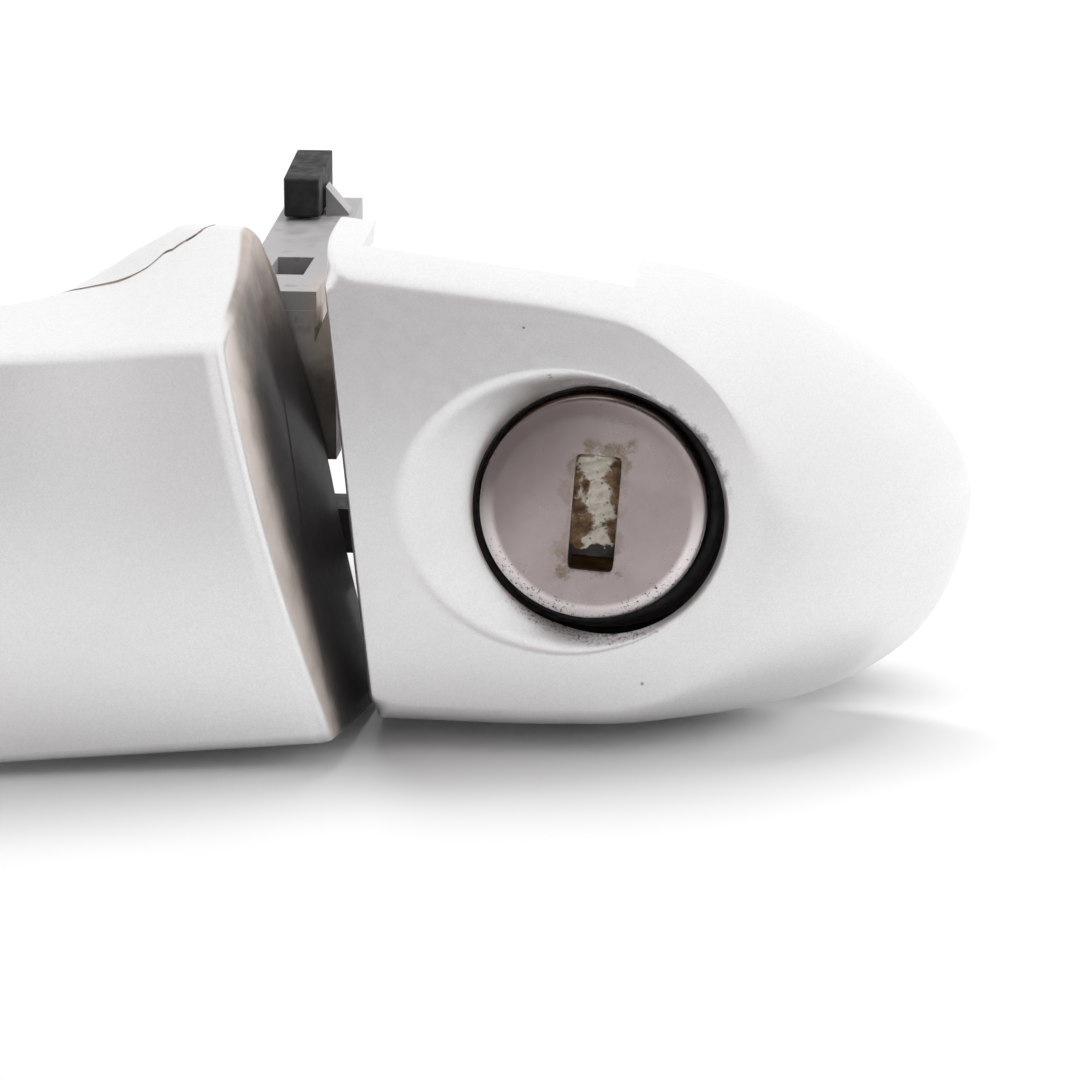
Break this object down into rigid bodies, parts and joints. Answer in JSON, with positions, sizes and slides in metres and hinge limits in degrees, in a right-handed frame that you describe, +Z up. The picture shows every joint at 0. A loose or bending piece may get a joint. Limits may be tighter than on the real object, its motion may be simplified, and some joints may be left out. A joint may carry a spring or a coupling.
{
  "type": "car door handle",
  "caption": "Outside door handle: a hinged pull grip with a pull arm, a lock cover with a key cylinder, and the carrier with its bellcrank lever.",
  "frame": {"origin": "where the lock axis crosses the outer face of the door skin", "axes": "+X along the door towards the lock, +Y into the door, +Z up"},
  "size_m": [0.2403, 0.0946, 0.0461],
  "materials": {
    "silver_paint": "silver metallic paint with a fine flake, satin clear coat",
    "stainless": "thin stainless cap, worn, pitted and lightly rusted",
    "zinc": "bare zinc die casting, dull",
    "steel": "plated steel",
    "brass": "plain machined brass",
    "black_nylon": "moulded, fine grain",
    "grey_nylon": "moulded, smooth",
    "rubber": "matt black rubber"
  },
  "bodies": {
    "carrier": {"carrier_frame": "black_nylon", "hinge_pin": "steel", "lever_pin": "steel", "lock_cover": "silver_paint", "lock_seal": "rubber", "lock_housing": "zinc", "clamp_screw": "steel", "clamp_nut": "steel", "cover_gasket": "rubber", "front_gasket": "rubber", "foot_gasket": "rubber", "arm_guide": "grey_nylon", "return_spring": "steel"},
    "grip": {"grip_outer_shell": "silver_paint", "grip_inner_shell": "silver_paint", "shell_screw_front": "steel", "shell_screw_rear": "steel", "hinge_hook": "zinc", "pull_arm": "zinc", "arm_bumper": "rubber", "arm_cross_pin": "steel"},
    "lever": {"bellcrank_lever": "zinc", "counterweight": "steel"},
    "plug": {"lock_plug": "brass", "plug_face": "stainless", "tail_paddle": "steel", "circlip": "steel"},
    "shutter": {"shutter_flap": "stainless"},
    "wafer1": {"wafer_1": "brass"},
    "wafer2": {"wafer_2": "brass"},
    "wafer3": {"wafer_3": "brass"},
    "wafer4": {"wafer_4": "brass"},
    "wafer5": {"wafer_5": "brass"}
  },
  "joints": [
    {"name": "grip_hinge", "type": "hinge", "parent": "carrier", "child": "grip", "pos_m": [-0.196, 0.009, 0], "axis": [0, 0, -1], "range_deg": [0, 8], "stiffness_Nm_per_rad": 3, "springref_deg": -20.05},
    {"name": "lever_hinge", "type": "hinge", "parent": "carrier", "child": "lever", "pos_m": [-0.0435, 0.034, -0.014], "axis": [1, 0, 0], "range_deg": [0, 58]},
    {"name": "plug_turn", "type": "hinge", "parent": "carrier", "child": "plug", "pos_m": [0, 0, 0], "axis": [0, 1, 0], "range_deg": [-75, 75], "stiffness_Nm_per_rad": 0.12},
    {"name": "shutter_hinge", "type": "hinge", "parent": "plug", "child": "shutter", "pos_m": [-0.00209, -0.015, 0.00016], "axis": [0.0785, 0, 0.9969], "range_deg": [0, 75], "stiffness_Nm_per_rad": 0.002, "springref_deg": -17.19},
    {"name": "wafer1_slide", "type": "slide", "parent": "plug", "child": "wafer1", "axis": [0.0785, 0, 0.9969], "range_m": [-0.0004, 0.0004], "stiffness_N_per_m": 300},
    {"name": "wafer2_slide", "type": "slide", "parent": "plug", "child": "wafer2", "axis": [0.0785, 0, 0.9969], "range_m": [-0.0004, 0.0004], "stiffness_N_per_m": 300},
    {"name": "wafer3_slide", "type": "slide", "parent": "plug", "child": "wafer3", "axis": [0.0785, 0, 0.9969], "range_m": [-0.0004, 0.0004], "stiffness_N_per_m": 300},
    {"name": "wafer4_slide", "type": "slide", "parent": "plug", "child": "wafer4", "axis": [0.0785, 0, 0.9969], "range_m": [-0.0004, 0.0004], "stiffness_N_per_m": 300},
    {"name": "wafer5_slide", "type": "slide", "parent": "plug", "child": "wafer5", "axis": [0.0785, 0, 0.9969], "range_m": [-0.0004, 0.0004], "stiffness_N_per_m": 300}
  ],
  "couplings": [
    {"joint": "lever_hinge", "follows": "grip_hinge", "ratio": 7.19}
  ]
}
